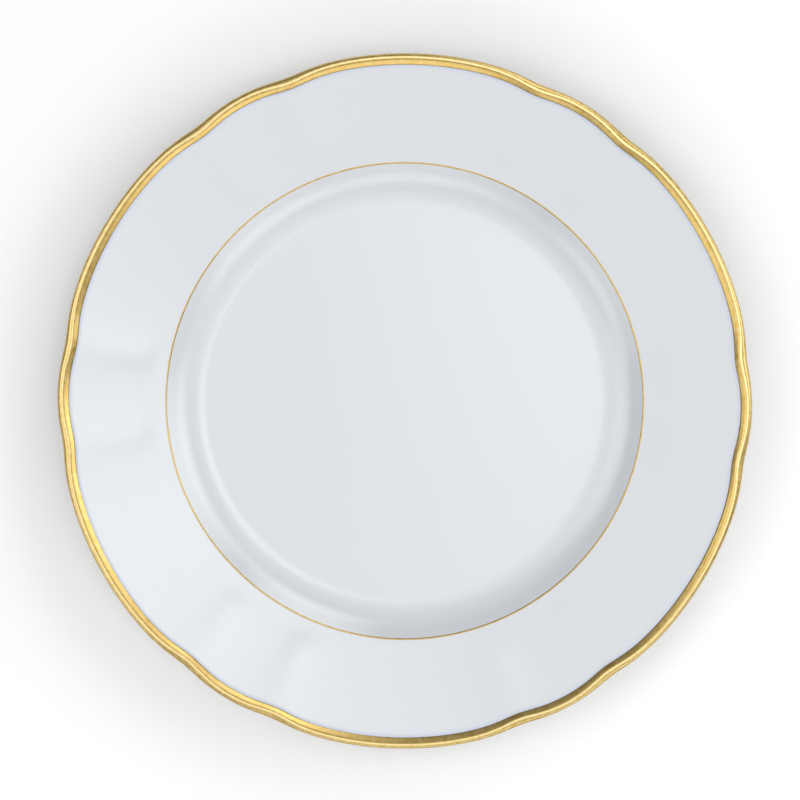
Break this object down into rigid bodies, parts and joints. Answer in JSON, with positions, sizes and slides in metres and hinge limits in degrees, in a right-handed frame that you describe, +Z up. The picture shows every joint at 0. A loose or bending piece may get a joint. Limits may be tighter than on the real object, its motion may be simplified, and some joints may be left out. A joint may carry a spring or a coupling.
{
  "type": "dinner plate",
  "caption": "Round porcelain dinner plate with a deep well, a fluted flange, a lobed gilt edge and a gilt verge line.",
  "frame": {"origin": "on the plate's axis, in the plane that the foot ring stands on", "axes": "+Z up along the axis, out of the well; +X through the middle of a narrow lobe"},
  "size_m": [0.2692, 0.27, 0.021],
  "materials": {
    "porcelain": "matte",
    "glaze": "gloss",
    "gilt": "satin"
  },
  "bodies": {
    "root": {"porcelain_body": "porcelain", "glaze_coat": "glaze", "glaze_base": "glaze", "gilt_rim_band": "gilt", "gilt_verge_line": "gilt"}
  },
  "joints": []
}
